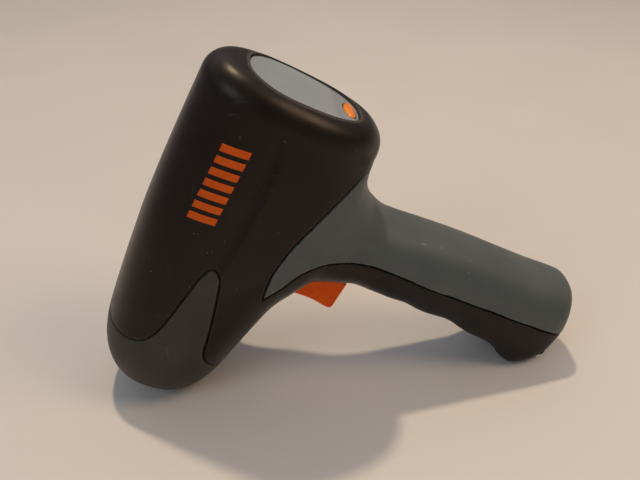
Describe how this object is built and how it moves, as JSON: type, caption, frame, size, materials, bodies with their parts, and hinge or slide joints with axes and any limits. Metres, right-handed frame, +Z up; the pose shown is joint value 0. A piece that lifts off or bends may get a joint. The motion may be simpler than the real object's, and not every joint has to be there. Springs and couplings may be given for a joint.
{
  "type": "radar speed gun",
  "caption": "Hand-held radar speed gun: barrel with rear oval display and rounded nose cap on a pistol grip, with trigger, power button and hinged battery door.",
  "frame": {"origin": "on the table, under the centre of the gun's own box as it lies on its nose and the toe of its grip", "axes": "+Z up; the gun lies with its plane of symmetry at Y = 0, its nose down to -X, its grip out to +X and its left side facing -Y"},
  "size_m": [0.2178, 0.0604, 0.1542],
  "materials": {
    "casing": "satin brown-black moulded plastic, finely scratched",
    "nose": "fine matt dark grey moulded plastic",
    "panel": "soft matt slate grey over-moulding",
    "rubber": "matt black rubber",
    "signal": "satin orange plastic",
    "button": "glossy light orange plastic",
    "window": "glossy light grey display window",
    "lcd": "grey-green liquid crystal glass",
    "diffuser": "milky translucent plastic",
    "inner_plastic": "black moulded plastic",
    "circuit_board": "green solder mask",
    "cast_alloy": "cast alloy",
    "screw_steel": "plated steel",
    "cell": "plain wrapped battery cell"
  },
  "bodies": {
    "gun_body": {"body_shell_left": "casing", "body_shell_right": "casing", "nose_cap": "nose", "grip_panel_left": "panel", "grip_panel_right": "panel", "front_strap": "rubber", "housing_screw_1": "screw_steel", "housing_screw_2": "screw_steel", "housing_screw_3": "screw_steel", "housing_screw_4": "screw_steel", "housing_screw_5": "screw_steel", "housing_screw_6": "screw_steel", "housing_screw_7": "screw_steel", "display_window": "window", "display_bezel": "inner_plastic", "lcd_panel": "lcd", "backlight": "diffuser", "display_board": "circuit_board", "power_switch": "inner_plastic", "antenna_horn": "cast_alloy", "antenna_lens": "diffuser", "nose_retainer": "inner_plastic", "radar_transceiver": "cast_alloy", "main_board": "circuit_board", "board_chip_1": "inner_plastic", "board_chip_2": "inner_plastic", "board_chip_3": "inner_plastic", "board_chip_4": "inner_plastic", "board_chip_5": "inner_plastic", "buzzer": "inner_plastic", "trigger_pin": "screw_steel", "trigger_spring": "screw_steel", "trigger_switch": "inner_plastic", "switch_lever": "screw_steel", "battery_tube": "inner_plastic", "battery_cell_upper": "cell", "battery_cell_lower": "cell", "contact_carrier": "inner_plastic", "top_contact": "screw_steel", "door_hinge_pin": "screw_steel"},
    "trigger": {"trigger": "signal"},
    "power_button": {"power_button": "button"},
    "battery_door": {"battery_door": "casing", "bottom_contact": "screw_steel", "cell_spring": "screw_steel"}
  },
  "joints": [
    {"name": "trigger_pull", "type": "hinge", "parent": "gun_body", "child": "trigger", "pos_m": [-0.0321, 0, 0.05485], "axis": [0, -1, 0], "range_deg": [0, 7], "stiffness_Nm_per_rad": 0.3, "springref_deg": -5.73},
    {"name": "power_button_press", "type": "slide", "parent": "gun_body", "child": "power_button", "axis": [-0.4741, 0, -0.8805], "range_m": [0, 0.0012], "stiffness_N_per_m": 800, "springref_m": -0.0005},
    {"name": "battery_door_hinge", "type": "hinge", "parent": "gun_body", "child": "battery_door", "pos_m": [0.09624, 0, 0.00505], "axis": [0, 1, 0], "range_deg": [0, 61]}
  ]
}
